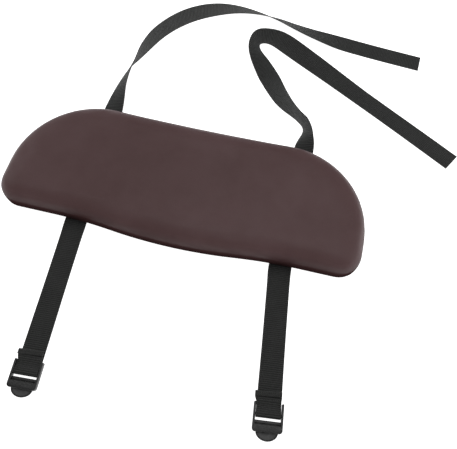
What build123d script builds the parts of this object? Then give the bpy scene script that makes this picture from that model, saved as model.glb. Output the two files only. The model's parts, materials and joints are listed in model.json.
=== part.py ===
from build123d import *
import os
from math import asin, cos, degrees, radians, sin, tan

# Strap-on arm rest pad: a kidney-shaped upholstered pad on two webbing straps.
# Millimetres. The origin is the middle of the pad's underside, X runs along the
# pad, -Y points to the buckle side and Z up. The pad lies on its strap screws.

# Pad outline, seen from above
pad_length = 640
end_depth = 223
bulge_depth = 13
bulge_half_length = 220
far_dip = 3
corner_radius = 38
end_flat = 35

# Pad layers, from the underside up
dust_cover_thickness = 0.6
cover_thickness = 1.2
board_thickness = 9
foam_base_height = 26
pad_top = 47
top_round = 24
lower_round = 6
board_inset = 9
border_width = 42
dust_cover_inset = 30

# Staples
staple_crown = 10
staple_wire_width = 1.2
staple_wire_thickness = 0.5
staple_leg = 7
cover_staple_inset = 20
cover_staple_count = 40
dust_staple_inset = 35
dust_staple_count = 32
staple_strap_gap = 7

# Webbing and where it runs
web_width = 38
web_thickness = 1.6
strap_middle_x = {"left": -181.5, "right": 190.5}
strap_lean = {"left": 2.8, "right": 0}
hinge_gap = 6
hinge_slack = 3.8

# Strap screws and washers
screw_spacing = 120
screw_shank_diameter = 3.5
screw_hole_diameter = 4
screw_reach = 8
screw_head_diameter = 9
screw_head_height = 0.8
screw_slot_width = 1.2
screw_slot_depth = 0.5
washer_diameter = 14
washer_thickness = 0.6

# Front straps: hinge line to loop bar, and the turn away from -Y, each side
strap_reach = {"left": 257.5, "right": 233.5}
strap_skew = {"left": 3.8, "right": 6.5}

# Sewn loop round the loop bar
bar_radius = 2.2
bar_clearance = 0.3
layer_gap = 0.15
loop_length = 36
loop_drop = 15
flap_length = 29
hem_length = 7
stitch_length = 2.2
stitch_width = 0.6
stitch_height = 0.3
stitch_pitch = 3
stitch_count = 12
stitch_row_setback = 5

# Ladder lock: distances run from the loop bar's axis
rail_thickness = 3.4
rail_clearance = 0.6
rail_back = 17.5
rail_front = 25.4
rail_height = 8.6
rail_below_axis = 4.9
lock_corner_radius = 5
lock_edge_round = 1
slot_width = 5
middle_bar_width = 4.8
middle_bar_height = 3.5
second_slot_width = 3.6
grip_overhang = 3.8
grip_overhang_height = 2.8
grip_rib_pitch = 1.9
grip_rib_width = 0.9
grip_rib_height = 0.5
grip_rib_count = 18
tab_width = 34
tab_length = 12
tab_thickness = 2.6
tab_round = 0.9

# Routes of the two free tails, from where they leave the pad's far edge
left_tail_route = [
    (-188, 205),
    (-177, 275),
    (-151, 350),
    (-97, 412),
    (-21, 446),
    (63, 451),
    (140, 431),
    (219, 423),
    (305, 413),
    (391.5, 406),
]
right_tail_route = [
    (190, 180),
    (166, 200),
    (131, 230),
    (100, 276),
    (66, 334),
    (50, 358),
    (58, 386),
    (90, 392),
    (136, 367),
    (211, 329),
    (300, 278),
    (380, 231),
    (469, 177),
]
tail_exit_y = 112
tail_first_run = {"left": 40, "right": 26}

half_length = pad_length / 2
far_y = (end_depth + bulge_depth) / 2
near_line_y = far_y - end_depth
near_y = near_line_y - bulge_depth
border_low = dust_cover_thickness
board_low = border_low + cover_thickness
foam_split = board_low + foam_base_height
hinge_y = near_line_y - hinge_gap
web_low = -web_thickness
loop_inner_radius = bar_radius + bar_clearance
bar_axis_height = web_low + web_thickness + loop_inner_radius

# Under the pad each strap runs in its own frame: Y along it, its middle at the origin
strap_lines = {
    side: Plane(
        origin=(strap_middle_x[side], 0, 0),
        x_dir=(cos(radians(strap_lean[side])), sin(radians(strap_lean[side])), 0),
        z_dir=(0, 0, 1),
    )
    for side in ("left", "right")
}

os.makedirs("parts", exist_ok=True)


def save(piece, name):
    """Labels a finished piece and writes it under its node name."""
    piece.label = name
    export_step(piece, f"parts/{name}.step")


# --- Pad outline: bulged near edge, small near corners, large far lobes ---
lobe_radius = end_depth - corner_radius - end_flat
lobe_x = half_length - lobe_radius
lobe_y = far_y - lobe_radius
dip_y = far_y - far_dip
dip_rise = dip_y - lobe_y
dip_radius = (lobe_x**2 + dip_rise**2 - lobe_radius**2) / (2 * (lobe_radius - dip_rise))
lobe_sweep = 90 + degrees(asin(lobe_x / (dip_radius + lobe_radius)))
bulge_middle = (bulge_half_length / 2, near_line_y - bulge_depth / 2)
corner_x = half_length - corner_radius
corner_y = near_line_y + corner_radius

with BuildSketch() as outline:
    with BuildLine():
        TangentArc((0, near_y), bulge_middle, tangent=(1, 0))
        TangentArc((bulge_half_length, near_line_y), bulge_middle, tangent=(-1, 0))
        Line((bulge_half_length, near_line_y), (corner_x, near_line_y))
        CenterArc((corner_x, corner_y), corner_radius, -90, 90)
        Line((half_length, corner_y), (half_length, lobe_y))
        lobe = CenterArc((lobe_x, lobe_y), lobe_radius, 0, lobe_sweep)
        TangentArc((0, dip_y), lobe @ 1, tangent=(1, 0))
        mirror(about=Plane.YZ)
    make_face()


def inset_outline(inset):
    """The pad outline moved inwards all round."""
    with BuildSketch() as shape:
        add(outline.sketch)
        offset(amount=-inset, mode=Mode.REPLACE)
    return shape.sketch


def pad_form(inset, low, high, upper_round, under_round):
    """The pad's rounded body, inset all round, between two heights."""
    with BuildPart() as form:
        with BuildSketch(Plane.XY.offset(low)):
            add(inset_outline(inset) if inset else outline.sketch)
        extrude(amount=high - low)
        fillet(form.faces().sort_by(Axis.Z)[-1].edges(), upper_round)
        fillet(form.faces().sort_by(Axis.Z)[0].edges(), under_round)
    return form.part


def staple_seats(inset, count, height):
    """Planes evenly spaced along the inset outline, X along the crown."""
    path = inset_outline(inset).face().outer_wire()
    shares = [(i + 0.5) / count for i in range(count)]
    return [
        Plane(origin=(path @ s) + Vector(0, 0, height), x_dir=path % s, z_dir=(0, 0, 1))
        for s in shares
    ]


def beside_straps(seat):
    """True where a staple crown is clear of both straps."""
    room = web_width / 2 + staple_strap_gap
    return all(abs(line.to_local_coords(seat.origin).X) > room for line in strap_lines.values())


screw_seats = [
    tuple(line.from_local_coords(Vector(0, end * screw_spacing / 2, 0)))[:2]
    for line in strap_lines.values()
    for end in (-1, 1)
]


# --- Staples: the crown lies flat under the cloth, two legs run up into the board ---
leg_spacing = staple_crown - staple_wire_thickness
crown_align = (Align.CENTER, Align.CENTER, Align.MAX)
leg_align = (Align.CENTER, Align.CENTER, Align.MIN)

with BuildPart() as cover_staples:
    with Locations(*staple_seats(cover_staple_inset, cover_staple_count, border_low)):
        Box(staple_crown, staple_wire_width, staple_wire_thickness, align=crown_align)
        with GridLocations(leg_spacing, 0, 2, 1):
            Box(staple_wire_thickness, staple_wire_width, staple_leg, align=leg_align)

dust_seats = filter(beside_straps, staple_seats(dust_staple_inset, dust_staple_count, 0))
with BuildPart() as dust_cover_staples:
    with Locations(*dust_seats):
        Box(staple_crown, staple_wire_width, staple_wire_thickness, align=crown_align)
        with GridLocations(leg_spacing, 0, 2, 1):
            Box(staple_wire_thickness, staple_wire_width, staple_leg, align=leg_align)

save(cover_staples.part, "cover_staples")
save(dust_cover_staples.part, "dust_cover_staples")

# --- Stiffening board, with pilot holes for the strap screws ---
with BuildPart() as board:
    with BuildSketch(Plane.XY.offset(board_low)):
        add(inset_outline(cover_thickness + board_inset))
    extrude(amount=board_thickness)
    with BuildSketch(Plane.XY.offset(board_low)):
        with Locations(*screw_seats):
            Circle(screw_shank_diameter / 2)
    extrude(amount=screw_reach - board_low, mode=Mode.SUBTRACT)
    add(cover_staples.part, mode=Mode.SUBTRACT)
    add(dust_cover_staples.part, mode=Mode.SUBTRACT)
save(board.part, "board")

# --- Two foam layers: a firm base let in round the board, a soft top ---
foam_rounds = (top_round - cover_thickness, lower_round - cover_thickness)
foam_form = pad_form(cover_thickness, board_low, pad_top - cover_thickness, *foam_rounds)

with BuildPart() as foam_base:
    add(foam_form)
    split(bisect_by=Plane.XY.offset(foam_split), keep=Keep.BOTTOM)
    with BuildSketch(Plane.XY.offset(board_low)):
        add(inset_outline(cover_thickness + board_inset))
    extrude(amount=board_thickness, mode=Mode.SUBTRACT)
save(foam_base.part, "foam_base")

with BuildPart() as foam_top:
    add(foam_form)
    split(bisect_by=Plane.XY.offset(foam_split), keep=Keep.TOP)
save(foam_top.part, "foam_top")

# --- Cover: one skin over the foam, turned under and stapled as a border ---
with BuildPart() as cover:
    add(pad_form(0, border_low, pad_top, top_round, lower_round))
    add(foam_form, mode=Mode.SUBTRACT)
    with BuildSketch(Plane.XY.offset(border_low)):
        add(inset_outline(border_width))
        with Locations(*screw_seats):
            Circle(screw_hole_diameter / 2)
    extrude(amount=cover_thickness, mode=Mode.SUBTRACT)
    add(cover_staples.part, mode=Mode.SUBTRACT)
    add(dust_cover_staples.part, mode=Mode.SUBTRACT)
save(cover.part, "cover")

# --- Dust cover: thin cloth over the underside, inside the border's outer edge ---
with BuildPart() as dust_cover:
    with BuildSketch():
        add(inset_outline(dust_cover_inset))
        with Locations(*screw_seats):
            Circle(screw_hole_diameter / 2, mode=Mode.SUBTRACT)
    extrude(amount=dust_cover_thickness)
    add(dust_cover_staples.part, mode=Mode.SUBTRACT)
save(dust_cover.part, "dust_cover")

# --- Strap screws and their washers, four of each ---
washer_low = web_low - washer_thickness
head_low = washer_low - screw_head_height

with BuildPart() as strap_washers:
    with BuildSketch(Plane.XY.offset(washer_low)):
        with Locations(*screw_seats):
            Circle(washer_diameter / 2)
            Circle(screw_hole_diameter / 2, mode=Mode.SUBTRACT)
    extrude(amount=washer_thickness)
save(strap_washers.part, "strap_washers")

with BuildPart() as strap_screws:
    for seat in screw_seats:
        with Locations((*seat, head_low)):
            Cylinder(screw_head_diameter / 2, screw_head_height, align=leg_align)
            Cylinder(screw_shank_diameter / 2, screw_reach - head_low, align=leg_align)
            for turn in (0, 90):
                Box(
                    screw_head_diameter / 2,
                    screw_slot_width,
                    screw_slot_depth,
                    rotation=(0, 0, turn),
                    align=leg_align,
                    mode=Mode.SUBTRACT,
                )
save(strap_screws.part, "strap_screws")

# --- Webbing under the pad, screwed through ---
underside_start = hinge_y + hinge_slack
underside_align = (Align.CENTER, Align.MIN, Align.MIN)

for side, line in strap_lines.items():
    with BuildPart(line) as strap_underside:
        with Locations((0, underside_start, web_low)):
            Box(web_width, tail_exit_y - underside_start, web_thickness, align=underside_align)
        with GridLocations(0, screw_spacing, 1, 2):
            Cylinder(screw_hole_diameter / 2, 4 * web_thickness, mode=Mode.SUBTRACT)
    save(strap_underside.part, f"{side}_strap_underside")

# --- Ladder lock, in its own frame: X along the loop bar, the tab towards -Y ---
lock_inner = web_width / 2 + rail_clearance
lock_width = 2 * (lock_inner + rail_thickness)
middle_bar_start = loop_inner_radius + web_thickness + slot_width
grip_start = middle_bar_start + middle_bar_width + second_slot_width
rail_low = -rail_below_axis
rail_middle = (rail_back - rail_front) / 2
rail_length = rail_back + rail_front
end_align = (Align.CENTER, Align.MAX, Align.MIN)

with BuildPart() as ladder_lock:
    with BuildSketch(Plane.XY.offset(rail_low)):
        with Locations((0, rail_middle)):
            RectangleRounded(lock_width, rail_length, lock_corner_radius)
    extrude(amount=rail_height)
    fillet(ladder_lock.faces().sort_by(Axis.Z)[-1].edges(), lock_edge_round)
    with BuildSketch(Plane.XY.offset(rail_low)):
        with Locations((0, rail_back)):
            Rectangle(2 * lock_inner, rail_back + grip_start, align=(Align.CENTER, Align.MAX))
    extrude(amount=rail_height, mode=Mode.SUBTRACT)
    Cylinder(bar_radius, 2 * lock_inner + rail_thickness, rotation=(0, 90, 0))
    with Locations((0, -middle_bar_start, rail_low)):
        Box(2 * lock_inner + rail_thickness, middle_bar_width, middle_bar_height, align=end_align)
    with Locations((0, grip_overhang - grip_start, rail_low + rail_height - grip_overhang_height)):
        Box(2 * lock_inner + rail_thickness, grip_overhang + 1, grip_overhang_height, align=end_align)
    with Locations((0, -grip_start, rail_low + rail_height)):
        with GridLocations(grip_rib_pitch, 0, grip_rib_count, 1):
            Box(
                grip_rib_width,
                rail_front - grip_start - lock_edge_round,
                grip_rib_height,
                align=end_align,
            )
    with BuildSketch(Plane.XY.offset(rail_low)):
        with Locations((0, -rail_front)):
            Ellipse(tab_width / 2, tab_length)
            Rectangle(tab_width, tab_length, align=(Align.CENTER, Align.MIN), mode=Mode.SUBTRACT)
    tab = extrude(amount=tab_thickness)

# --- Front straps: hinged at the pad's near edge, each ends in a sewn loop and a lock ---
loop_outer_radius = loop_inner_radius + web_thickness
flap_low = layer_gap - loop_inner_radius
flap_top = flap_low + web_thickness
hem_top = flap_top + web_thickness
hem_start = flap_length - hem_length
strap_align = (Align.CENTER, Align.MAX, Align.MIN)
stitch_rows = (
    (0, hem_start - stitch_row_setback, flap_top),
    (0, flap_length - hem_length / 2, hem_top),
)

for side, line in strap_lines.items():
    reach = strap_reach[side]
    skew = radians(strap_skew[side])
    across = Vector(cos(skew), sin(skew), 0)
    along = Vector(sin(skew), -cos(skew), 0)
    hinge_point = line.from_local_coords(Vector(0, hinge_y, 0))
    bar_point = hinge_point + along * reach + Vector(0, 0, bar_axis_height)
    hinge_plane = Plane(origin=hinge_point, x_dir=across, z_dir=(0, 0, 1))
    bar_plane = Plane(origin=bar_point, x_dir=across, z_dir=(0, 0, 1))
    loop_plane = Plane(origin=bar_point, x_dir=-along, z_dir=across)

    with BuildPart(hinge_plane) as strap_front:
        with Locations((0, 0, web_low)):
            Box(web_width, reach - loop_length, web_thickness, align=strap_align)
    save(strap_front.part, f"{side}_strap_front")

    with BuildPart() as strap_loop:
        with BuildSketch(loop_plane):
            with BuildLine():
                Line((loop_length, -loop_inner_radius), (0, -loop_inner_radius))
                ThreePointArc(
                    (0, -loop_inner_radius), (-loop_inner_radius, 0), (0, loop_inner_radius)
                )
                Polyline(
                    (0, loop_inner_radius),
                    (loop_drop, flap_low),
                    (flap_length, flap_low),
                    (flap_length, hem_top),
                    (hem_start, hem_top),
                    (hem_start, flap_top),
                    (loop_drop, flap_top),
                    (0, loop_outer_radius),
                )
                ThreePointArc(
                    (0, loop_outer_radius), (-loop_outer_radius, 0), (0, -loop_outer_radius)
                )
                Polyline(
                    (0, -loop_outer_radius),
                    (loop_length, -loop_outer_radius),
                    (loop_length, -loop_inner_radius),
                )
            make_face()
        extrude(amount=web_width / 2, both=True)
    save(strap_loop.part, f"{side}_strap_loop")

    with BuildPart(bar_plane) as strap_stitching:
        with Locations(*stitch_rows):
            with GridLocations(stitch_pitch, 0, stitch_count, 1):
                Box(stitch_length, stitch_width, stitch_height, align=leg_align)
    save(strap_stitching.part, f"{side}_strap_stitching")

    with BuildPart(bar_plane) as side_lock:
        add(ladder_lock.part)
    save(side_lock.part, f"{side}_ladder_lock")


# --- Free tails: webbing lying flat, from the far edge to a cut end ---
def bend_radii(route):
    """For each inner point, the largest arc that its two runs leave room for."""
    radii = []
    for before, here, after in zip(route, route[1:], route[2:]):
        arriving = Vector(*here) - Vector(*before)
        leaving = Vector(*after) - Vector(*here)
        half_turn = radians(arriving.get_angle(leaving)) / 2
        radii.append(0.45 * min(arriving.length, leaving.length) / tan(half_turn))
    return radii


for side, bends in (("left", left_tail_route), ("right", right_tail_route)):
    leaving = [(0, tail_exit_y), (0, tail_exit_y + tail_first_run[side])]
    first = [tuple(strap_lines[side].from_local_coords(Vector(*p, 0)))[:2] for p in leaving]
    route = [*first, *bends]
    radii = bend_radii(route)
    print(side, "tail leaves along", first)
    with BuildPart() as tail:
        with BuildSketch(Plane.XY.offset(web_low)):
            with BuildLine() as tail_line:
                FilletPolyline(*route, radius=radii)
            trace(line_width=web_width)
        extrude(amount=web_thickness)
    tail_length = sum(edge.length for edge in tail_line.edges())
    section = web_width * web_thickness
    print(side, "tail radii", [round(r) for r in radii], "length", round(tail_length))
    print(side, "tail volume over section times length", tail.part.volume / section / tail_length)
    save(tail.part, f"{side}_tail")
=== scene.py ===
"""Strap-on arm rest pad: a padded, leatherette-covered kidney pad on two webbing straps with ladder locks."""

import json
import math

import bpy
import numpy as np
from bpy.props import FloatProperty, FloatVectorProperty, IntProperty, PointerProperty
from mathutils import Matrix, Vector


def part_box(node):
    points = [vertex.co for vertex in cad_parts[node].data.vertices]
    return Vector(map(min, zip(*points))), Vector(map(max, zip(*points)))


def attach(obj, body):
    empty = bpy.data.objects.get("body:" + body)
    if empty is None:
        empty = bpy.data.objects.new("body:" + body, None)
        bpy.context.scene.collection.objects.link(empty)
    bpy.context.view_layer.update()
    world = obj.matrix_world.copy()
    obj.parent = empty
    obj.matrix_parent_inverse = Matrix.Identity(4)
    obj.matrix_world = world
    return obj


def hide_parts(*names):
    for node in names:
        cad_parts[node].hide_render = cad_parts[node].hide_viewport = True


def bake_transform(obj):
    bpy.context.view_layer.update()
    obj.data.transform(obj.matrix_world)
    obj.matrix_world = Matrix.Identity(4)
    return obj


bl_info = {
    "name": "Strap-on Arm Rest Pad",
    "version": (1, 0, 0),
    "blender": (4, 5, 0),
    "location": "3D View > Sidebar > Arm Rest",
    "description": "Builds a padded arm rest pad with webbing straps and ladder locks",
    "category": "Object",
}

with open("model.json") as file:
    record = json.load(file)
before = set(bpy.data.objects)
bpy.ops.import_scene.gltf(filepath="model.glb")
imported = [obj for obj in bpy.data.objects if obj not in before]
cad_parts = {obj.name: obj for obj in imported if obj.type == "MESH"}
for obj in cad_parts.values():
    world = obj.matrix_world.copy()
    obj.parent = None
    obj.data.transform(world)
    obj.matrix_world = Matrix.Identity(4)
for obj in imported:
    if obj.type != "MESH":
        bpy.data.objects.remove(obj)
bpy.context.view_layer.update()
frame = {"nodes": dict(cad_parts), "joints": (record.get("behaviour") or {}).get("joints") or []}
MM = 0.001
JOINTS = {j["name"]: j for j in frame["joints"]}
FLOOR = float(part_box("strap_screws")[0][2])
WEB_LOW, WEB_TOP = (float(corner[2]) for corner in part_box("left_strap_underside"))
PAD_LOW, PAD_TOP = (float(corner[2]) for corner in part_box("cover"))
SIDES = ("left", "right")


# --- Sizes and colours -------------------------------------------------------


def length_property(name, description, default):
    """A size in metres with a unit."""
    return FloatProperty(name=name, description=description, default=default, unit="LENGTH", precision=4)


def colour_property(name, description, default):
    """A linear colour."""
    return FloatVectorProperty(
        name=name, description=description, default=default, subtype="COLOR", size=3, min=0, max=1
    )


class ArmRestCoverSettings(bpy.types.PropertyGroup):
    """Sizes and colours of the padded cover."""

    top_round: length_property("Top Round", "Radius of the foam's upper edge", 0.024)
    low_round: length_property("Low Round", "Radius of the foam's lower edge", 0.006)
    start_inset: length_property("Start Inset", "How much smaller the cover starts before it swells", 0.0014)
    swell: length_property("Swell", "Furthest that the cover moves as the foam fills it", 0.0022)
    voxel: length_property("Voxel", "Grain of the cloth mesh", 0.0052)
    colour: colour_property("Leatherette", "Colour of the cover", (0.082, 0.040, 0.040))
    sheen_colour: colour_property(
        "Worn Leatherette", "Colour in the leatherette's lighter clouds", (0.100, 0.053, 0.054)
    )
    grain: length_property("Grain", "Size of one leatherette pebble", 0.0011)


class ArmRestWebbingSettings(bpy.types.PropertyGroup):
    """Sizes and colours of the webbing."""

    width: length_property("Width", "Width of the webbing", 0.038)
    thickness: length_property("Thickness", "Thickness of the webbing", 0.0016)
    rib_pitch: length_property("Rib Pitch", "Distance between weft ribs", 0.0032)
    ring_gap: length_property("Ring Gap", "Distance between mesh rings along the webbing", 0.003)
    colour: colour_property("Webbing", "Colour of the webbing", (0.024, 0.0245, 0.0235))
    thread: colour_property("Thread", "Colour of the stitching", (0.05, 0.05, 0.048))


class ArmRestLockSettings(bpy.types.PropertyGroup):
    """Sizes and colours of the ladder locks."""

    edge_round: length_property("Edge Round", "Radius of the moulded edges", 0.0009)
    rib_count: IntProperty(name="Grip Ribs", description="Ribs on the grip bar", default=18, min=3, max=40)
    colour: colour_property("Lock Plastic", "Colour of the moulded locks", (0.008, 0.008, 0.008))
    tab_colour: colour_property("Tab Plastic", "Colour of the scuffed lifting tab", (0.055, 0.055, 0.055))


class ArmRestStageSettings(bpy.types.PropertyGroup):
    """Floor, lights and camera."""

    lens: FloatProperty(name="Lens", description="Focal length of the camera", default=39.4, unit="CAMERA")
    roll: FloatProperty(
        name="Roll", description="Roll of the camera", default=math.radians(2.68), subtype="ANGLE"
    )
    floor_colour: colour_property("Floor", "Colour of the floor", (0.9, 0.9, 0.9))


# --- Mesh helpers ------------------------------------------------------------


def new_object(name, points, faces, smooth=True):
    """A mesh object at the origin from an array of points and a list of faces."""
    mesh = bpy.data.meshes.new(name)
    corners = [[int(k) for k in face] for face in faces]
    mesh.from_pydata(np.asarray(points, float).reshape(-1, 3).tolist(), [], corners)
    mesh.validate()
    mesh.polygons.foreach_set("use_smooth", np.full(len(mesh.polygons), smooth))
    mesh.update()
    thing = bpy.data.objects.new(name, mesh)
    bpy.context.scene.collection.objects.link(thing)
    return thing


def grid_faces(rows, columns, close_rows=False, close_columns=True):
    """Quads of a grid of points: point (i, j) has index i * columns + j."""
    i, j = np.meshgrid(
        np.arange(rows if close_rows else rows - 1),
        np.arange(columns if close_columns else columns - 1),
        indexing="ij",
    )
    i2, j2 = (i + 1) % rows, (j + 1) % columns
    return np.stack(
        [i * columns + j, i2 * columns + j, i2 * columns + j2, i * columns + j2], -1
    ).reshape(-1, 4)


def capped_loft(rings):
    """A closed shell through rings (rows, columns, 3): quads between them and a flat cap at both ends."""
    rings = np.asarray(rings, float)
    rows, columns = rings.shape[:2]
    quads = grid_faces(rows, columns)[:, ::-1]
    first = list(range(columns))[::-1]
    last = [(rows - 1) * columns + j for j in range(columns)]
    return rings.reshape(-1, 3), [first, *quads.tolist(), last]


def joined(shells):
    """Several (points, faces) shells as one."""
    points, faces, start = [], [], 0
    for some_points, some_faces in shells:
        points.append(np.asarray(some_points, float).reshape(-1, 3))
        faces += [[int(k) + start for k in face] for face in some_faces]
        start += len(points[-1])
    return np.concatenate(points), faces


def outward_normals(outline):
    """Unit normals of a closed counter-clockwise outline, half-way between the runs on either side."""
    ahead = np.roll(outline, -1, 0) - outline
    ahead /= np.linalg.norm(ahead, axis=1, keepdims=True)
    behind = np.roll(ahead, 1, 0)
    normal = np.stack([ahead[:, 1] + behind[:, 1], -(ahead[:, 0] + behind[:, 0])], 1)
    normal /= np.linalg.norm(normal, axis=1, keepdims=True)
    square = np.stack([ahead[:, 1], -ahead[:, 0]], 1)
    stretch = np.clip(1 / np.maximum(0.5, np.sum(normal * square, 1)), 1, 1.6)
    return normal * stretch[:, None]


def slab(outline, low, high, low_round, high_round, steps=4):
    """A plate over a counter-clockwise outline: the outline is moved inwards by r(1 - cos a) while the height
    moves by r sin a, so both rims are quarter rounds."""
    normal = outward_normals(outline)
    turn = np.linspace(0, math.pi / 2, steps + 1)
    inset = np.concatenate([low_round * (1 - np.cos(turn))[::-1], high_round * (1 - np.cos(turn))])
    rise = 1 - np.sin(turn)
    height = np.concatenate([low + low_round * rise[::-1], high - high_round * rise])
    flat = outline[None] - normal[None] * inset[:, None, None]
    rings = np.concatenate([flat, np.broadcast_to(height[:, None, None], flat.shape[:2] + (1,))], 2)
    return capped_loft(rings)


def arc(centre, radius, start, end, count):
    """Points on a circle from one angle to another, in degrees, without the last."""
    turn = np.radians(np.linspace(start, end, count, endpoint=False))
    return np.stack([centre[0] + radius * np.cos(turn), centre[1] + radius * np.sin(turn)], 1)


# --- Material helpers --------------------------------------------------------


class Shader:
    """A small helper that adds and links shader nodes."""

    def __init__(self, name):
        self.material = bpy.data.materials.new(name)
        self.material.use_nodes = True
        self.nodes = self.material.node_tree.nodes
        self.links = self.material.node_tree.links
        self.surface = self.nodes["Principled BSDF"]
        self.coordinates = self.nodes.new("ShaderNodeTexCoord")

    def add(self, kind, inputs=None, **fields):
        """A node with its fields set and its inputs set or linked."""
        node = self.nodes.new(kind)
        for key, value in fields.items():
            setattr(node, key, value)
        for key, value in (inputs or {}).items():
            self.put(node.inputs[key], value)
        return node

    def put(self, socket, value):
        """Links a socket, or sets its value."""
        if isinstance(value, bpy.types.NodeSocket):
            self.links.new(value, socket)
        else:
            socket.default_value = value

    def math(self, operation, *values, clamp=False):
        """A maths node's result."""
        node = self.add("ShaderNodeMath", operation=operation, use_clamp=clamp)
        for socket, value in zip(node.inputs, values):
            self.put(socket, value)
        return node.outputs[0]

    def noise(self, vector, scale, detail=3.0, roughness=0.5):
        """Noise from 0 to 1."""
        return self.add(
            "ShaderNodeTexNoise",
            {"Vector": vector, "Scale": scale, "Detail": detail, "Roughness": roughness},
        ).outputs["Fac"]

    def fit(self, value, low, high, to_low=0.0, to_high=1.0):
        """A value mapped from one range to another and held inside it."""
        return self.add(
            "ShaderNodeMapRange",
            {"Value": value, "From Min": low, "From Max": high, "To Min": to_low, "To Max": to_high},
        ).outputs[0]

    def blend(self, factor, one, other):
        """A colour between two colours."""
        node = self.add("ShaderNodeMix", data_type="RGBA")
        self.put(node.inputs[0], factor)
        self.put(node.inputs[6], one)
        self.put(node.inputs[7], other)
        return node.outputs[2]

    def bump(self, height, distance, strength=1.0, under=None):
        """A bumped normal, on top of another if one is given."""
        node = self.add("ShaderNodeBump", {"Height": height, "Distance": distance, "Strength": strength})
        if under is not None:
            self.put(node.inputs["Normal"], under)
        return node.outputs[0]

    def finish(self, **sockets):
        """Sets or links the surface's own sockets and returns the material."""
        for key, value in sockets.items():
            self.put(self.surface.inputs[key.replace("_", " ")], value)
        return self.material


def rgba(colour):
    """Four numbers from a linear colour."""
    return (*colour[:3], 1.0)


def shade(colour, amount):
    """A colour made lighter or darker."""
    return tuple(min(1.0, c * amount) for c in colour[:3]) + (1.0,)


def leatherette(settings):
    """Smooth leatherette: fine pebbles, slow waves in the foam below, faint lighter clouds, and painted shade on
    its lower sides.
    """
    s = Shader("Dark Brown Leatherette")
    place = s.coordinates.outputs["Object"]
    clouds = s.fit(s.noise(place, 9.0, 4.0, 0.55), 0.35, 0.7)
    colour = s.blend(clouds, rgba(settings.colour), rgba(settings.sheen_colour))
    speck = s.fit(s.noise(place, 900.0, 2.0), 0.45, 0.75)
    colour = s.blend(s.math("MULTIPLY", speck, 0.22), colour, shade(settings.colour, 0.6))
    # Painted shade: the cover's colour darkens below 43 mm height, down to 0.3 of itself below 16 mm, along a
    # cloudy edge.
    height = s.add("ShaderNodeSeparateXYZ", {"Vector": place}).outputs["Z"]
    low = s.fit(s.math("ADD", height, s.math("MULTIPLY", clouds, 0.003)), 0.016, 0.043, 1.0, 0.0)
    colour = s.blend(low, colour, shade(settings.colour, 0.3))
    pebbles = s.add(
        "ShaderNodeTexVoronoi",
        {"Vector": place, "Scale": 1 / settings.grain, "Randomness": 0.9},
        feature="SMOOTH_F1",
    ).outputs["Distance"]
    waves = s.bump(s.noise(place, 16.0, 2.0), 0.0011, 0.35)
    normal = s.bump(pebbles, 0.00016, 0.45, waves)
    rough = s.fit(s.noise(place, 40.0, 3.0), 0.3, 0.7, 0.46, 0.56)
    # The painted shade mask also takes the specular gloss and the sheen off the lower sides.
    return s.finish(
        Base_Color=colour, Roughness=rough, Normal=normal, Specular_IOR_Level=s.fit(low, 0, 0.7, 0.3, 0.0),
        Sheen_Weight=s.fit(low, 0, 0.4, 0.16, 0.0), Sheen_Roughness=0.45, Sheen_Tint=(0.85, 0.72, 0.78, 1),
    )


def webbing(settings):
    """Woven webbing on its own UV map, u across and v along in metres: weft ribs, their crests painted lighter
    and their grooves darker as painted highlight and painted shade, warp lines and smooth selvedges."""
    s = Shader("Black Ribbed Webbing")
    u, v, _ = s.add("ShaderNodeSeparateXYZ", {"Vector": s.coordinates.outputs["UV"]}).outputs
    place = s.coordinates.outputs["Object"]
    wobble = s.math("MULTIPLY", s.noise(place, 160.0, 2.0), 0.0006)
    turns = s.math("MULTIPLY", s.math("ADD", v, wobble), 2 * math.pi / settings.rib_pitch)
    ribs = s.fit(s.math("SINE", turns), -1, 1)
    warp = s.fit(s.math("SINE", s.math("MULTIPLY", u, 2 * math.pi / 0.0012)), -1, 1)
    edge = s.fit(s.math("ABSOLUTE", u), 0.44 * settings.width, 0.475 * settings.width)
    threads = s.math("ADD", ribs, s.math("MULTIPLY", warp, 0.35))
    weave = s.math("MULTIPLY", threads, s.math("SUBTRACT", 1.0, edge))
    fuzz = s.noise(place, 700.0, 3.0)
    normal = s.bump(fuzz, 0.00025, 0.5, s.bump(weave, 0.0009, 1.0))
    # Painted highlight and shade: the ribs' crests are painted lighter and their grooves darker.
    painted_rib_light_and_shade = s.blend(ribs, shade(settings.colour, 0.4), shade(settings.colour, 1.55))
    patches = s.fit(s.noise(place, 30.0, 3.0), 0.3, 0.75)
    colour = s.blend(s.math("MULTIPLY", patches, 0.45), painted_rib_light_and_shade, shade(settings.colour, 1.7))
    return s.finish(
        Base_Color=colour, Roughness=0.72, Normal=normal, Specular_IOR_Level=0.35,
        Sheen_Weight=0.08, Sheen_Roughness=0.5, Sheen_Tint=(0.8, 0.85, 0.85, 1),
    )


def thread_material(settings):
    """Bonded sewing thread with a fine twist."""
    s = Shader("Black Bonded Thread")
    place = s.coordinates.outputs["Object"]
    twist = s.noise(place, 2500.0, 2.0)
    colour = s.blend(twist, shade(settings.thread, 0.6), shade(settings.thread, 1.4))
    return s.finish(Base_Color=colour, Roughness=0.5, Normal=s.bump(twist, 0.0001, 0.5))


def moulded_plastic(name, colour, scuff, low=0.32, high=0.48):
    """Moulded acetal: a fine spark-eroded skin, soft scuffs and uneven gloss."""
    s = Shader(name)
    place = s.coordinates.outputs["Object"]
    skin = s.noise(place, 1800.0, 2.0)
    marks = s.fit(s.noise(place, 120.0, 5.0, 0.65), 0.5, 0.72)
    base = s.blend(s.math("MULTIPLY", marks, scuff), rgba(colour), shade(colour, 2.2))
    rough = s.fit(s.noise(place, 220.0, 3.0), 0.3, 0.7, low, high)
    normal = s.bump(skin, 0.00012, 0.35)
    return s.finish(Base_Color=base, Roughness=rough, Normal=normal, Specular_IOR_Level=0.5)


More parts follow.
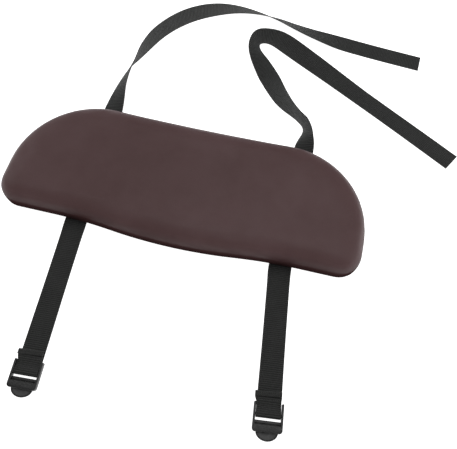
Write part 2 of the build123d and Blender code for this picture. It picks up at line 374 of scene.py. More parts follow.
def nonwoven():
    """Thin black spun cloth under the pad: a felt of short fibres pressed with small points."""
    s = Shader("Black Spun Dust Cloth")
    place = s.coordinates.outputs["Object"]
    fibres = s.noise(place, 420.0, 6.0, 0.75)
    points = s.add(
        "ShaderNodeTexVoronoi", {"Vector": place, "Scale": 620.0}, feature="F1"
    ).outputs["Distance"]
    colour = s.blend(fibres, (0.012, 0.012, 0.013, 1), (0.045, 0.045, 0.047, 1))
    normal = s.bump(fibres, 0.0003, 0.5, s.bump(points, 0.0002, 0.5))
    return s.finish(Base_Color=colour, Roughness=0.85, Normal=normal, Sheen_Weight=0.3)


def plated_steel():
    """Bright zinc plate with faint brushing and a slight blue cast."""
    s = Shader("Zinc Plated Steel")
    place = s.coordinates.outputs["Object"]
    grain = s.noise(place, 600.0, 4.0, 0.6)
    colour = s.blend(grain, (0.5, 0.51, 0.53, 1), (0.68, 0.69, 0.72, 1))
    rough = s.fit(grain, 0.3, 0.7, 0.28, 0.45)
    return s.finish(Base_Color=colour, Metallic=1.0, Roughness=rough, Normal=s.bump(grain, 0.00008, 0.3))


def plywood():
    """Raw plywood: long grain with slow bands."""
    s = Shader("Raw Plywood")
    stretched = s.add(
        "ShaderNodeMapping", {"Vector": s.coordinates.outputs["Object"], "Scale": (6, 90, 90)}
    ).outputs[0]
    grain = s.noise(stretched, 2.2, 6.0, 0.6)
    colour = s.blend(s.fit(grain, 0.3, 0.7), (0.34, 0.21, 0.105, 1), (0.60, 0.44, 0.26, 1))
    return s.finish(Base_Color=colour, Roughness=0.7, Normal=s.bump(grain, 0.0003, 0.4))


def open_cell_foam():
    """Pale yellow foam with open cells, their hollows painted darker as painted shade."""
    s = Shader("Open Cell Foam")
    place = s.coordinates.outputs["Object"]
    cells = s.add("ShaderNodeTexVoronoi", {"Vector": place, "Scale": 900.0}, feature="F1").outputs["Distance"]
    # Painted shade: the colour darkens towards each cell's centre, where the bump dips into a pore.
    colour = s.blend(cells, (0.45, 0.38, 0.22, 1), (0.80, 0.72, 0.50, 1))
    return s.finish(Base_Color=colour, Roughness=0.95, Normal=s.bump(cells, 0.0006, 0.7))


def paint(thing, *materials):
    """Gives an object its materials."""
    thing.data.materials.clear()
    for material in materials:
        thing.data.materials.append(material)


# --- Webbing as a carried profile --------------------------------------------


def web_profile(width, thickness):
    """The webbing's closed section, across by up: a flat strip with round selvedges a little thinner than the
    body."""
    half, r = width / 2, thickness / 2
    turn = np.radians(np.array([-62, -25, 25, 62]))
    right = np.stack([half - 0.9 * r + 0.9 * r * np.cos(turn), 0.9 * r * np.sin(turn)], 1)
    across = np.array([0.93, 0.62, 0.31, 0.0, -0.31, -0.62, -0.93]) * half
    top = np.stack([across, np.full(7, r)], 1)
    left = np.stack([-right[::-1, 0], right[::-1, 1]], 1)
    bottom = np.stack([across[::-1], np.full(7, -r)], 1)
    return np.concatenate([right, top, left, bottom])


def smooth_step(t):
    """Three t squared less two t cubed, with t held from 0 to 1."""
    t = np.clip(t, 0, 1)
    return t * t * (3 - 2 * t)


def along_line(points):
    """Distance along a line of points."""
    return np.concatenate([[0.0], np.cumsum(np.linalg.norm(np.diff(points, axis=0), axis=1))])


def respaced(points, gap):
    """The same line with points evenly spaced, about one gap apart."""
    run = along_line(points)
    at = np.linspace(0, run[-1], max(8, int(run[-1] / gap)))
    return np.stack([np.interp(at, run, points[:, k]) for k in range(3)], 1), at


def strip(name, centre, across, settings, width_share=None):
    """Webbing whose section is carried along centre (n, 3), lying along the unit vectors across (n, 3).
    Up is across the tangent: up = across x tangent. u is the distance across and v the distance along."""
    width, thickness = settings.width, settings.thickness
    tangent = np.gradient(centre, axis=0)
    tangent /= np.linalg.norm(tangent, axis=1, keepdims=True)
    up = np.cross(across, tangent)
    up /= np.linalg.norm(up, axis=1, keepdims=True)
    profile = web_profile(width, thickness)
    share = np.ones(len(centre)) if width_share is None else width_share
    rings = (
        centre[:, None]
        + across[:, None] * profile[None, :, :1] * share[:, None, None]
        + up[:, None] * profile[None, :, 1:]
    )
    points, faces = capped_loft(rings)
    thing = new_object(name, points, faces)
    u, v = np.broadcast_arrays(profile[None, :, 0], along_line(centre)[:, None])
    uv_of_point = np.stack([u, v], -1).reshape(-1, 2)
    layer = thing.data.uv_layers.new(name="web")
    corner = np.empty(len(thing.data.loops), np.int32)
    thing.data.loops.foreach_get("vertex_index", corner)
    layer.data.foreach_set("uv", uv_of_point[corner].astype(np.float32).ravel())
    return thing


def spline_points(name, route):
    """Points read from a NURBS spline of order 3 through the route's control points."""
    curve = bpy.data.curves.new(name, "CURVE")
    curve.dimensions = "3D"
    curve.resolution_u = 24
    spline = curve.splines.new("NURBS")
    spline.points.add(len(route) - 1)
    spline.points.foreach_set("co", np.c_[np.array(route, float), np.ones(len(route))].ravel())
    spline.order_u = 3
    spline.use_endpoint_u = True
    holder = bpy.data.objects.new(name, curve)
    bpy.context.scene.collection.objects.link(holder)
    mesh = bpy.data.meshes.new_from_object(holder)
    points = np.empty(len(mesh.vertices) * 3)
    mesh.vertices.foreach_get("co", points)
    bpy.data.objects.remove(holder)
    bpy.data.meshes.remove(mesh)
    return points.reshape(-1, 3)


# Routes of the free tails: millimetres, with the height of the webbing's middle above the pad's underside
TAIL_ROUTES = {
    "left": [
        (-187, 111.9, -0.8), (-188.9, 151.8, 2), (-188, 205, 16), (-177, 275, 17), (-151, 350, 17),
        (-97, 412, 17), (-21, 446, 17), (63, 451, 11), (140, 431, 4), (219, 423, -2.2), (305, 413, -2.2),
        (391.5, 406, -2.2),
    ],
    "right": [
        (190.5, 112, -0.8), (190.5, 138, 2), (190, 180, 17), (166, 200, 17.5), (131, 230, 16), (100, 276, 6),
        (67, 328, 2), (48, 352, 7), (46, 375, 14), (62, 387, 15), (93, 385, 14), (136, 368, 8), (211, 329, 1),
        (300, 278, -2.2),
        (380, 231, -2.2), (469, 177, -2.2),
    ],
}
# How the webbing banks along each tail: millimetres along it, and degrees that its right-hand edge rises
TAIL_BANKS = {
    "left": [
        (0, 0), (28, 8), (55, 28), (75, 42), (100, 52), (140, 64), (172, 86), (212, 97), (300, 96), (345, 90),
        (375, 83), (405, 71), (440, 58), (472, 48), (500, 41), (533, 34), (566, 25), (598, 16), (630, 6),
        (660, 0), (822, 0),
    ],
    "right": [
        (0, 0), (24, 12), (44, 46), (56, 66), (76, 92), (100, 94), (122, 82), (145, 64), (180, 44), (220, 22),
        (240, 0), (262, -8), (280, -26), (298, -46), (316, -76), (332, -88), (350, -78), (375, -54),
        (400, -38), (430, -26), (478, -15),
        (520, -8), (570, -2), (640, 0), (787, 0),
    ],
}


def tail(side, settings):
    """A free tail: the section is carried along the route's spline and turned about it by the bank angle. Where
    an edge would dip under the floor, the middle is lifted by half the width times the sine of the bank."""
    line, run = respaced(spline_points(f"{side}_route", np.array(TAIL_ROUTES[side]) * MM), settings.ring_gap)
    where, bank = np.array(TAIL_BANKS[side], float).T
    span = where / where[-1] * run[-1]
    fine = np.linspace(0, run[-1], 900)
    angle = np.interp(fine, span, np.radians(bank))
    kernel = np.hanning(61)
    padded = np.pad(angle, 30, mode="edge")
    angle = np.interp(run, fine, np.convolve(padded, kernel / kernel.sum(), "valid"))
    tangent = np.gradient(line, axis=0)
    flat = np.stack([tangent[:, 1], -tangent[:, 0], np.zeros(len(line))], 1)
    flat /= np.linalg.norm(flat, axis=1, keepdims=True)
    tangent /= np.linalg.norm(tangent, axis=1, keepdims=True)
    up = np.cross(flat, tangent)
    across = flat * np.cos(angle)[:, None] + up * np.sin(angle)[:, None]
    reach = settings.width / 2 * np.abs(across[:, 2]) + settings.thickness / 2 * np.abs(np.cos(angle))
    lowest = np.maximum(FLOOR, np.where(run < 0.02, WEB_LOW, FLOOR)) + 0.0001
    centre = line.copy()
    centre[:, 2] = np.maximum(line[:, 2], lowest + reach)
    thing = strip(f"{side}_free_tail", centre, across, settings)
    paint(thing, bpy.data.materials["Black Ribbed Webbing"])
    return thing, centre


# --- Operators ---------------------------------------------------------------


class SceneOperator(bpy.types.Operator):
    """Shared by the operators below."""

    bl_options = {"REGISTER"}


class ARMREST_OT_materials(SceneOperator):
    """Makes the materials and gives the inner CAD pieces theirs"""

    bl_idname = "armrest.materials"
    bl_label = "Materials"

    def execute(self, context):
        scene = context.scene
        leatherette(scene.arm_rest_cover)
        webbing(scene.arm_rest_webbing)
        thread_material(scene.arm_rest_webbing)
        lock = scene.arm_rest_lock
        moulded_plastic("Black Moulded Acetal", lock.colour, 0.35)
        moulded_plastic("Scuffed Tab Acetal", lock.tab_colour, 0.5, 0.42, 0.6)
        # The grip's ribs get a lighter plastic than the black frame: a painted highlight that makes the grip's
        # middle look lit while the frame's corners and front band stay dark.
        moulded_plastic("Grip Ribs Painted Highlight Acetal", shade(lock.tab_colour, 0.6)[:3], 0.4, 0.4, 0.55)
        steel, foam = plated_steel(), open_cell_foam()
        for node, material in (
            ("board", plywood()), ("foam_base", foam), ("foam_top", foam), ("dust_cover", nonwoven()),
            ("cover_staples", steel), ("dust_cover_staples", steel),
            ("strap_screws", steel), ("strap_washers", steel),
        ):
            paint(frame["nodes"][node], material)
        return {"FINISHED"}


class ARMREST_OT_tails(SceneOperator):
    """Lays the two free webbing tails"""

    bl_idname = "armrest.tails"
    bl_label = "Free Tails"

    def execute(self, context):
        settings = context.scene.arm_rest_webbing
        for side, length in (("left", 0.822), ("right", 0.787)):
            thing, centre = tail(side, settings)
            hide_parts(f"{side}_tail")
            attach(thing, "pad")
        return {"FINISHED"}


UP = np.array([0, 0, 1.0])
# Along the strap from the loop bar's middle, in metres away from the lock
FLAP_DROP = 0.015
FLAP_END = 0.0312
HEM_SPAN = (0.0262, 0.0322)
RAIL_END = 0.0165
LAYER_GAP = 0.00015
# How far the sewn flap lies to the left of its strap at its end (metres), and how much wider it is pressed
FLAP_ASIDE = {"left": 0.0030, "right": 0.0018}
FLAP_SPREAD = {"left": 0.07, "right": 0.10}
# How much the loop stands off its bar towards the lock's slot
LOOP_SLACK = {"left": 0.0016, "right": 0.0012}
HEM_LEAN = {"left": 2.5, "right": 2.0}


def side_frame(side):
    """The hinge point, loop bar point, and unit vectors across and along a front strap, from its joints."""
    swing, lock = JOINTS[f"{side}_strap_swing"], JOINTS[f"{side}_lock_swing"]
    hinge, bar = np.array(swing["pos_m"], float), np.array(lock["pos_m"], float)
    across = -np.array(lock["axis"], float)
    along = np.array([across[1], -across[0], 0.0])
    return hinge, bar, across, along


def sewn_loop(side, settings):
    """The webbing's middle line from under the loop bar round it and down to the flap's end, with how far each
    point's width spreads: a half round of the loop's radius, a smooth step down, and a flat run."""
    _, bar, across, along = side_frame(side)
    radius = bar[2] - (WEB_LOW + WEB_TOP) / 2
    turn = np.radians(np.linspace(-90, 90, 15))[1:]
    rise = np.stack([(radius + LOOP_SLACK[side]) * np.cos(turn), radius * np.sin(turn)], 1)
    drop = np.linspace(0, 1, 9)[1:]
    laid = WEB_TOP + LAYER_GAP + settings.thickness / 2 - bar[2]
    down = np.stack([-FLAP_DROP * drop, radius + (laid - radius) * smooth_step(drop)], 1)
    flap = np.stack([np.linspace(-FLAP_DROP, -FLAP_END, 12)[1:], np.full(11, down[-1, 1])], 1)
    line = np.concatenate([rise, down, flap])
    past_bar = np.arange(len(line)) >= len(rise)
    aside = -FLAP_ASIDE[side] * smooth_step((-line[:, 0] - 0.006) / 0.026) * past_bar
    spread = FLAP_SPREAD[side] * smooth_step((-line[:, 0] - RAIL_END) / 0.009) * past_bar
    return bar + along * line[:, :1] + across * aside[:, None] + UP * line[:, 1:], spread


class ARMREST_OT_straps(SceneOperator):
    """Makes the two straps: under the pad, out to the front and sewn round the lock's bar"""

    bl_idname = "armrest.straps"
    bl_label = "Front Straps"

    def execute(self, context):
        settings = context.scene.arm_rest_webbing
        middle = (WEB_LOW + WEB_TOP) / 2
        for side in SIDES:
            hinge, bar, across, along = side_frame(side)
            loop, spread = sewn_loop(side, settings)
            start = np.array([*TAIL_ROUTES[side][0][:2], 0]) * MM + UP * middle
            knee = np.array([hinge[0], hinge[1], middle])
            inward = (start - knee) / np.linalg.norm(start - knee)
            corner, after = knee + inward * 0.012, knee + along * 0.012
            t = np.linspace(0, 1, 9)[1:-1, None]
            turned = (1 - t) ** 2 * corner + 2 * t * (1 - t) * knee + t**2 * after
            back = np.linspace(start, corner, 60)
            front = np.linspace(after, np.array([bar[0], bar[1], middle]), 90)
            centre = np.concatenate([back, turned, front, loop])
            share = np.concatenate([np.zeros(60), smooth_step(t[:, 0]), np.ones(90 + len(loop))])[:, None]
            width_way = np.array([-inward[1], inward[0], 0.0]) * -(1 - share) + across * share
            width_way /= np.linalg.norm(width_way, axis=1, keepdims=True)
            run = along_line(centre)
            reach = np.linalg.norm(centre[:, :2] - knee[:2], axis=1)
            flare = 1 + 0.035 * np.exp(-((reach / 0.02) ** 2)) + 0.006 * np.sin(run / 0.031)
            flare[-len(loop):] += spread
            thing = strip(f"{side}_strap", centre, width_way, settings, flare)
            paint(thing, bpy.data.materials["Black Ribbed Webbing"])
            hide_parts(f"{side}_strap_underside", f"{side}_strap_front", f"{side}_strap_loop")
            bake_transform(thing)
        return {"FINISHED"}


class ARMREST_OT_hems(SceneOperator):
    """Adds the folded hems and their rows of stitches"""

    bl_idname = "armrest.hems"
    bl_label = "Hems and Stitching"

    def execute(self, context):
        settings = context.scene.arm_rest_webbing
        for side in SIDES:
            _, bar, across, along = side_frame(side)
            lean = np.radians(HEM_LEAN[side])
            way = across * math.cos(lean) - along * math.sin(lean)
            origin = np.array([bar[0], bar[1], 0.0]) - across * FLAP_ASIDE[side]
            self.hem(side, settings, origin, way, along)
            self.stitches(side, settings, origin, way, along)
        return {"FINISHED"}

    def hem(self, side, settings, origin, way, along):
        """The flap's end folded back on itself: a short flat run that rounds over at its lip."""
        base = WEB_TOP + LAYER_GAP + settings.thickness
        start, end = HEM_SPAN
        fold = np.radians(np.linspace(90, -90, 7))
        r = settings.thickness * 0.42
        top = np.stack([np.linspace(-start, -end, 10), np.full(10, base + settings.thickness * 0.55)], 1)
        lip = np.stack([-end - 2.1 * r * np.cos(fold), base - 0.3 * r + 1.6 * r * np.sin(fold)], 1)
        line = np.concatenate([top, lip[1:-1]])
        line[0, 1] -= 0.0003
        centre = origin + along * line[:, :1] + UP * line[:, 1:]
        ways = np.broadcast_to(way, centre.shape).copy()
        hem = strip(f"{side}_hem", centre, ways, settings, np.full(len(centre), 1 + FLAP_SPREAD[side]))
        paint(hem, bpy.data.materials["Black Ribbed Webbing"])
        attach(hem, f"{side}_strap")

    def stitches(self, side, settings, origin, way, along):
        """Three rows of low oval stitches: one through the flap and two through the hem."""
        base = WEB_TOP + LAYER_GAP + settings.thickness
        lat, lon = np.meshgrid(
            np.linspace(0.12, 1, 4) * math.pi / 2,
            np.linspace(0, 2 * math.pi, 10, endpoint=False),
            indexing="ij",
        )
        flat = np.sin(lat)
        cap = np.stack(
            [flat * np.cos(lon) * 0.00125, flat * np.sin(lon) * 0.0004, np.cos(lat) * 0.00035], -1
        )
        on_flap, on_hem = base - 0.00005, base + settings.thickness * 1.05
        shells = []
        for v, z in ((-0.0212, on_flap), (-0.0278, on_hem), (-0.0312, on_hem)):
            for u in np.linspace(-0.0168, 0.0168, 13):
                place = origin + along * v + way * u + UP * z
                ring = place + way * cap[..., :1] + along * cap[..., 1:2] + UP * cap[..., 2:]
                shells.append(capped_loft(ring[::-1]))
        stitches = new_object(f"{side}_stitches", *joined(shells))
        paint(stitches, bpy.data.materials["Black Bonded Thread"])
        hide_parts(f"{side}_strap_stitching")
        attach(stitches, f"{side}_strap")


# The ladder lock, in metres from the loop bar's axis: across, towards the tab and up
LOCK_LOW, LOCK_HIGH = -0.0049, 0.0037
LOCK_HALF, LOCK_INNER = 0.0230, 0.0196
LOCK_BACK, LOCK_FRONT, LOCK_THROAT = 0.0175, 0.0254, 0.0175
LOCK_CORNER, THROAT_CORNER = 0.005, 0.0012
BAR_RADIUS = 0.0022
GRIP_RIB_PITCH = 0.0019
TAB_HALF, TAB_REACH = 0.0170, 0.0120


def lock_outline():
    """The lock's frame seen from above, counter-clockwise: a U open at the back, with round outer and inner
    corners. x runs across and y away from the tab."""
    nose, throat, rail = -LOCK_FRONT, -LOCK_THROAT, LOCK_HALF - LOCK_INNER
    corner, end = LOCK_CORNER, THROAT_CORNER
    return np.concatenate([
        arc((-LOCK_HALF + corner, nose + corner), corner, 180, 270, 7),
        arc((LOCK_HALF - corner, nose + corner), corner, 270, 360, 7),
        arc((LOCK_HALF - rail / 2, LOCK_BACK - rail / 2), rail / 2, 0, 180, 9),
        arc((LOCK_INNER - end, throat + end), end, 0, -90, 5),
        arc((-LOCK_INNER + end, throat + end), end, -90, -180, 5),
        arc((-LOCK_HALF + rail / 2, LOCK_BACK - rail / 2), rail / 2, 0, 180, 9),
    ])


def bar_shell(profile):
    """A closed bar across the lock: a convex profile (n, 2) of y and z carried from one rail to the other."""
    x = np.array([-1.0, 1.0])[:, None] * (LOCK_INNER + 0.001)
    rings = np.stack(np.broadcast_arrays(x, profile[None, :, 0], profile[None, :, 1]), -1)
    return capped_loft(rings)


def superellipse(centre, half_y, half_z, power, count):
    """Points (y, z) where |y/a|^p + |z/b|^p = 1, counter-clockwise seen from +x."""
    turn = np.linspace(0, 2 * math.pi, count, endpoint=False)
    c, s = np.cos(turn), np.sin(turn)
    y = centre[0] + half_y * np.sign(c) * np.abs(c) ** (2 / power)
    z = centre[1] + half_z * np.sign(s) * np.abs(s) ** (2 / power)
    return np.stack([y, z], 1)


def lock_frame(edge_round):
    """The frame with its loop bar, its low middle bar, and the grip's nose, which overhangs the second slot."""
    nose = np.array([
        (-LOCK_THROAT - 0.002, -0.0028), (-0.0150, -0.0028), (-0.0141, -0.0026), (-0.0137, -0.0020),
        (-0.0138, -0.0013), (-0.0146, -0.0006), (-0.0158, -0.0001), (-LOCK_THROAT - 0.002, 0),
    ]) + (0, LOCK_HIGH)
    middle_bar = superellipse((-0.0112, LOCK_LOW + 0.00175), 0.0027, 0.00175, 3.2, 28)
    return joined([
        slab(lock_outline(), LOCK_LOW, LOCK_HIGH, edge_round, edge_round),
        bar_shell(superellipse((0, 0), BAR_RADIUS, BAR_RADIUS, 2.0, 24)),
        bar_shell(middle_bar),
        bar_shell(nose),
    ])


def grip_ribs(count):
    """The grip's ribs: half rounds that rise and fade along the grip as a sine to the power of 0.35."""
    turn = np.linspace(0, math.pi, 7)
    y = np.linspace(-0.0145, -LOCK_FRONT + 0.0028, 6)[:, None]
    fade = np.sin(np.linspace(0.18, math.pi - 0.18, 6))[:, None] ** 0.35
    z = LOCK_HIGH - 0.0003 + 0.0008 * fade * np.sin(turn)
    shells = []
    for x in (np.arange(count) - (count - 1) / 2) * GRIP_RIB_PITCH:
        ring = np.stack(np.broadcast_arrays(x + 0.00056 * np.cos(turn)[None], y, z), -1)
        shells.append(capped_loft(ring))
    return joined(shells)


def lifting_tab():
    """The half-oval tab: its outline stacked at rising heights, each moved inwards for round edges and a dish."""
    sweep = np.radians(np.linspace(180, 360, 33))
    edge = np.stack(
        [TAB_HALF * np.cos(sweep), -LOCK_FRONT + 0.0012 + (TAB_REACH + 0.0012) * np.sin(sweep)], 1
    )
    root = -LOCK_FRONT + 0.003
    outline = np.concatenate([edge, [[TAB_HALF, root], [-TAB_HALF, root]]])
    insets = np.array([0.0007, 0.0002, 0, 0, 0.0002, 0.0007, 0.0016, 0.0019, 0.0022])
    heights = LOCK_LOW + np.array([0, 0.0003, 0.0008, 0.0018, 0.0023, 0.0026, 0.0026, 0.0024, 0.0020])
    flat = outline[None] - outward_normals(outline)[None] * insets[:, None, None]
    tall = np.broadcast_to(heights[:, None, None], (*flat.shape[:2], 1))
    return capped_loft(np.concatenate([flat, tall], 2))


class ARMREST_OT_locks(SceneOperator):
    """Makes the two ladder locks: frame, loop bar, middle bar, ribbed grip and lifting tab"""

    bl_idname = "armrest.locks"
    bl_label = "Ladder Locks"

    def execute(self, context):
        settings = context.scene.arm_rest_lock
        body, ribs, tab = lock_frame(settings.edge_round), grip_ribs(settings.rib_count), lifting_tab()
        points, faces = joined([body, ribs, tab])
        slots = np.zeros(len(faces), np.int32)
        # The rib faces take the third material, the lighter plastic painted as the grip's highlight.
        slots[len(body[1]):len(body[1]) + len(ribs[1])] = 2
        slots[-1] = 1
        materials = [
            bpy.data.materials[name]
            for name in ("Black Moulded Acetal", "Scuffed Tab Acetal", "Grip Ribs Painted Highlight Acetal")
        ]
        for side in SIDES:
            _, bar, across, along = side_frame(side)
            placed = bar + across * points[:, :1] - along * points[:, 1:2] + UP * points[:, 2:]
            lock = new_object(f"{side}_lock", placed, faces)
            paint(lock, *materials)
            lock.data.polygons.foreach_set("material_index", slots)
            lock.data.set_sharp_from_angle(angle=math.radians(42))
            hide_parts(f"{side}_ladder_lock")
            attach(lock, f"{side}_lock")
        return {"FINISHED"}


# The pad's outline, in millimetres
PAD_LENGTH, END_DEPTH = 640, 223
BULGE_DEPTH, BULGE_HALF = 13, 220
FAR_DIP = 3
CORNER_RADIUS, END_FLAT = 38, 35


def pad_outline(inset):
    """The pad seen from above, counter-clockwise from the middle of the near edge: two arcs make the bulge, a
    small arc each near corner, a large arc each far lobe, and one shallow arc dips the far edge. It is moved
    inwards by inset."""
    half, far = PAD_LENGTH / 2, (END_DEPTH + BULGE_DEPTH) / 2
    near = far - END_DEPTH
    lobe = END_DEPTH - CORNER_RADIUS - END_FLAT
    lobe_x, lobe_y = half - lobe, far - lobe
    dip_y = far - FAR_DIP
    rise = dip_y - lobe_y
    dip_r = (lobe_x**2 + rise**2 - lobe**2) / (2 * (lobe - rise))
    sweep = 90 + math.degrees(math.asin(lobe_x / (dip_r + lobe)))
    big = ((BULGE_HALF / 2) ** 2 + (BULGE_DEPTH / 2) ** 2) / BULGE_DEPTH
    swing = math.degrees(math.asin(BULGE_HALF / 2 / big))
    corner_x, corner_y = half - CORNER_RADIUS, near + CORNER_RADIUS
    near_run = np.linspace(BULGE_HALF, corner_x, 9, endpoint=False)
    end_run = np.linspace(corner_y, lobe_y, 4, endpoint=False)
    right = np.concatenate([
        arc((0, near - BULGE_DEPTH + big), big, -90, -90 + swing, 14),
        arc((BULGE_HALF, near - big), big, 90 + swing, 90, 14),
        np.stack([near_run, np.full(9, near)], 1),
        arc((corner_x, corner_y), CORNER_RADIUS, -90, 0, 12),
        np.stack([np.full(4, half), end_run], 1),
        arc((lobe_x, lobe_y), lobe, 0, sweep, 44),
        arc((0, dip_y + dip_r), dip_r, sweep - 180, -90, 16),
    ])
    mirrored = right[1:][::-1] * np.array([-1, 1])
    whole = np.concatenate([right, [[0, dip_y]], mirrored]) * MM
    return whole - outward_normals(whole) * inset


def hold_low_edge(points, radius, give):
    """Keeps the cover's lower edge outside the foam. With d the depth inside the outline and h the height above
    the underside, a point nearer to the edge's centre (radius, radius) than radius - give moves straight out to
    it."""
    outline = pad_outline(0.0)
    ahead = np.roll(outline, -1, 0) - outline
    length = np.linalg.norm(ahead, axis=1)
    ahead /= length[:, None]
    out = np.stack([ahead[:, 1], -ahead[:, 0]], 1)
    low = np.nonzero(points[:, 2] < PAD_LOW + 3 * radius)[0]
    for some in np.array_split(low, 40):
        flat = points[some, :2]
        from_start = flat[:, None] - outline[None]
        along = np.clip(np.sum(from_start * ahead, 2), 0, length)
        gap = np.linalg.norm(from_start - along[..., None] * ahead, axis=2)
        nearest = np.argmin(gap, 1)
        normal = out[nearest]
        depth = -np.sum(from_start[np.arange(len(some)), nearest] * normal, 1)
        height = points[some, 2] - PAD_LOW
        side, down = radius - depth, np.maximum(radius - height, 0)
        reach = np.hypot(np.maximum(side, 0), down)
        wanted = (radius - give) / np.maximum(reach, 1e-6)
        grow = np.where(reach > 0.4 * radius, np.maximum(1, wanted), 1)
        points[some, :2] += normal * (np.maximum(side, 0) * (grow - 1))[:, None]
        points[some, 2] -= down * (grow - 1)
    points[:, 2] = np.maximum(points[:, 2], PAD_LOW)
    return points


class ARMREST_OT_cover(SceneOperator):
    """Makes the padded cover: a closed form that foam pressure swells against its cloth"""

    bl_idname = "armrest.cover"
    bl_label = "Padded Cover"

    def execute(self, context):
        scene, settings = context.scene, context.scene.arm_rest_cover
        outline = pad_outline(settings.start_inset)
        top = PAD_TOP - settings.start_inset
        cover = new_object(
            "padded_cover", *slab(outline, PAD_LOW, top, settings.low_round, settings.top_round, 9)
        )
        context.view_layer.objects.active = cover
        remesh = cover.modifiers.new("Cloth Grain", "REMESH")
        remesh.mode, remesh.voxel_size = "VOXEL", settings.voxel
        context.view_layer.update()
        self.apply(context, cover)
        rest = self.read(cover)
        normals = np.empty(len(rest) * 3)
        cover.data.vertex_normals.foreach_get("vector", normals)
        normals = normals.reshape(-1, 3)
        pinned = cover.vertex_groups.new(name="underside")
        pinned.add(np.nonzero(rest[:, 2] < PAD_LOW + 0.004)[0].tolist(), 1.0, "REPLACE")
        cloth = cover.modifiers.new("Foam Pressure", "CLOTH")
        cloth.settings.quality = 6
        cloth.settings.use_pressure = True
        cloth.settings.uniform_pressure_force = 4.0
        cloth.settings.effector_weights.gravity = 0
        cloth.settings.vertex_group_mass = "underside"
        cloth.settings.bending_stiffness = 4.0
        cloth.settings.tension_stiffness = 25.0
        cloth.settings.compression_stiffness = 25.0
        for step in range(1, 15):
            scene.frame_set(step)
        self.apply(context, cover)
        moved = np.sum((self.read(cover) - rest) * normals, 1, keepdims=True)
        moved = np.clip(moved, 0, None)
        moved = settings.swell * np.tanh(moved / settings.swell)
        self.write(cover, rest + normals * (moved + settings.start_inset))
        self.ease(cover, 10)
        grow = cover.modifiers.new("Finer Cloth", "SUBSURF")
        grow.levels = grow.render_levels = 1
        context.view_layer.update()
        self.apply(context, cover)
        form = self.read(cover)
        form[:, 2] = np.maximum(form[:, 2], PAD_LOW)
        self.write(cover, hold_low_edge(form, settings.low_round, 0.0002))
        cover.data.polygons.foreach_set("use_smooth", np.ones(len(cover.data.polygons), bool))
        scene.frame_set(1)
        paint(cover, bpy.data.materials["Dark Brown Leatherette"])
        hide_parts("cover")
        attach(cover, "pad")
        return {"FINISHED"}

    def ease(self, thing, rounds):
        """Smooths the mesh without shrinking it: each point moves part of the way to its neighbours' mean, then
        a little further back."""
        edges = np.empty(len(thing.data.edges) * 2, np.int32)
        thing.data.edges.foreach_get("vertices", edges)
        one, other = edges.reshape(-1, 2).T
        points = self.read(thing)
        count = np.bincount(edges, minlength=len(points))[:, None]
        for step in range(2 * rounds):
            total = np.zeros_like(points)
            np.add.at(total, one, points[other])
            np.add.at(total, other, points[one])
            points += (0.6 if step % 2 == 0 else -0.62) * (total / count - points)
        self.write(thing, points)

    def apply(self, context, thing):
        """Replaces the object's mesh with its modified one."""
        graph = context.evaluated_depsgraph_get()
        mesh = bpy.data.meshes.new_from_object(thing.evaluated_get(graph))
        thing.modifiers.clear()
        thing.data = mesh

    def read(self, thing):
        """The mesh's points as an array."""
        points = np.empty(len(thing.data.vertices) * 3)
        thing.data.vertices.foreach_get("co", points)
        return points.reshape(-1, 3)

    def write(self, thing, points):
        """Puts an array of points back into the mesh."""
        thing.data.vertices.foreach_set("co", np.asarray(points, np.float32).ravel())
        thing.data.update()


def area_light(name, place, target, size, power, colour=(1, 1, 1)):
    """A soft square lamp that faces a target."""
    lamp = bpy.data.lights.new(name, "AREA")
    lamp.shape, lamp.size, lamp.energy, lamp.color = "SQUARE", size, power, colour
    thing = bpy.data.objects.new(name, lamp)
    thing.location = place
    thing.rotation_euler = (Vector(target) - Vector(place)).to_track_quat("-Z", "Y").to_euler()
    bpy.context.scene.collection.objects.link(thing)


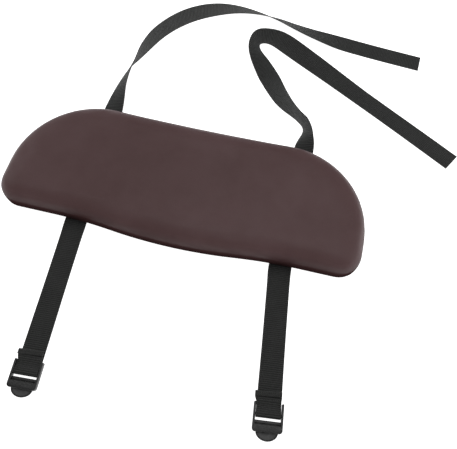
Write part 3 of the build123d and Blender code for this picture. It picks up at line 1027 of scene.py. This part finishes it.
class ARMREST_OT_stage(SceneOperator):
    """Sets the pale floor, the soft lights and the camera"""

    bl_idname = "armrest.stage"
    bl_label = "Stage"

    def execute(self, context):
        scene, settings = context.scene, context.scene.arm_rest_stage
        scene.view_settings.view_transform = "Standard"
        s = Shader("Pale Floor")
        place = s.coordinates.outputs["Object"]
        tone = s.blend(s.noise(place, 3.0, 2.0), rgba(settings.floor_colour), shade(settings.floor_colour, 1.03))
        paper = s.finish(
            Base_Color=tone, Roughness=0.9, Specular_IOR_Level=0.1,
            Emission_Color=(1, 1, 1, 1), Emission_Strength=1.0,
        )
        corner = np.array([[-6, -6], [6, -6], [6, 6], [-6, 6]], float)
        floor = new_object("floor", np.c_[corner, np.full(4, FLOOR)], [[0, 1, 2, 3]], smooth=False)
        paint(floor, paper)
        area_light("Top Softbox", (0.1, 0.35, 1.7), (0, 0.1, 0), 1.6, 10)
        area_light("Left Softbox", (-1.6, 0.3, 0.9), (0, 0, 0), 1.2, 5)
        area_light("Right Softbox", (1.6, 0.2, 0.7), (0, 0, 0), 1.2, 6)
        world = bpy.data.worlds.new("Pale Studio")
        world.use_nodes = True
        world.node_tree.nodes["Background"].inputs["Color"].default_value = (1, 1, 1, 1)
        world.node_tree.nodes["Background"].inputs["Strength"].default_value = 0.3
        scene.world = world
        lens = bpy.data.cameras.new("Camera")
        lens.sensor_fit, lens.sensor_width, lens.lens = "HORIZONTAL", 36, settings.lens
        lens.clip_start, lens.clip_end = 0.01, 50
        camera = bpy.data.objects.new("Camera", lens)
        place, target = Vector((0.1555, -0.4116, 0.8044)), Vector((0.0868, -0.0482, -0.003))
        turn = (target - place).to_track_quat("-Z", "Y").to_matrix() @ Matrix.Rotation(settings.roll, 3, "Z")
        camera.matrix_world = Matrix.Translation(place) @ turn.to_4x4()
        scene.collection.objects.link(camera)
        scene.camera = camera
        return {"FINISHED"}


STEPS = (
    ARMREST_OT_stage,
    ARMREST_OT_materials,
    ARMREST_OT_tails,
    ARMREST_OT_straps,
    ARMREST_OT_hems,
    ARMREST_OT_locks,
    ARMREST_OT_cover,
)


class ARMREST_PT_panel(bpy.types.Panel):
    """Lists the pieces of the arm rest pad"""

    bl_idname = "ARMREST_PT_panel"
    bl_label = "Arm Rest Pad"
    bl_space_type = "VIEW_3D"
    bl_region_type = "UI"
    bl_category = "Arm Rest"

    def draw(self, context):
        for step in STEPS:
            self.layout.operator(step.bl_idname)
        for _, name in SETTINGS:
            box = self.layout.box()
            group = getattr(context.scene, name)
            for field in group.bl_rna.properties:
                if field.identifier not in {"rna_type", "name"}:
                    box.prop(group, field.identifier)


SETTINGS = (
    (ArmRestCoverSettings, "arm_rest_cover"),
    (ArmRestWebbingSettings, "arm_rest_webbing"),
    (ArmRestLockSettings, "arm_rest_lock"),
    (ArmRestStageSettings, "arm_rest_stage"),
)


def register():
    """Registers the settings, operators and panel."""
    for group, name in SETTINGS:
        bpy.utils.register_class(group)
        setattr(bpy.types.Scene, name, PointerProperty(type=group))
    for step in (*STEPS, ARMREST_PT_panel):
        bpy.utils.register_class(step)


def unregister():
    """Removes them again."""
    for step in reversed((*STEPS, ARMREST_PT_panel)):
        bpy.utils.unregister_class(step)
    for group, name in SETTINGS:
        delattr(bpy.types.Scene, name)
        bpy.utils.unregister_class(group)


def main():
    """Builds everything in order."""
    register()
    for step in STEPS:
        family, call = step.bl_idname.split(".")
        getattr(getattr(bpy.ops, family), call)()


if __name__ == "__main__":
    main()
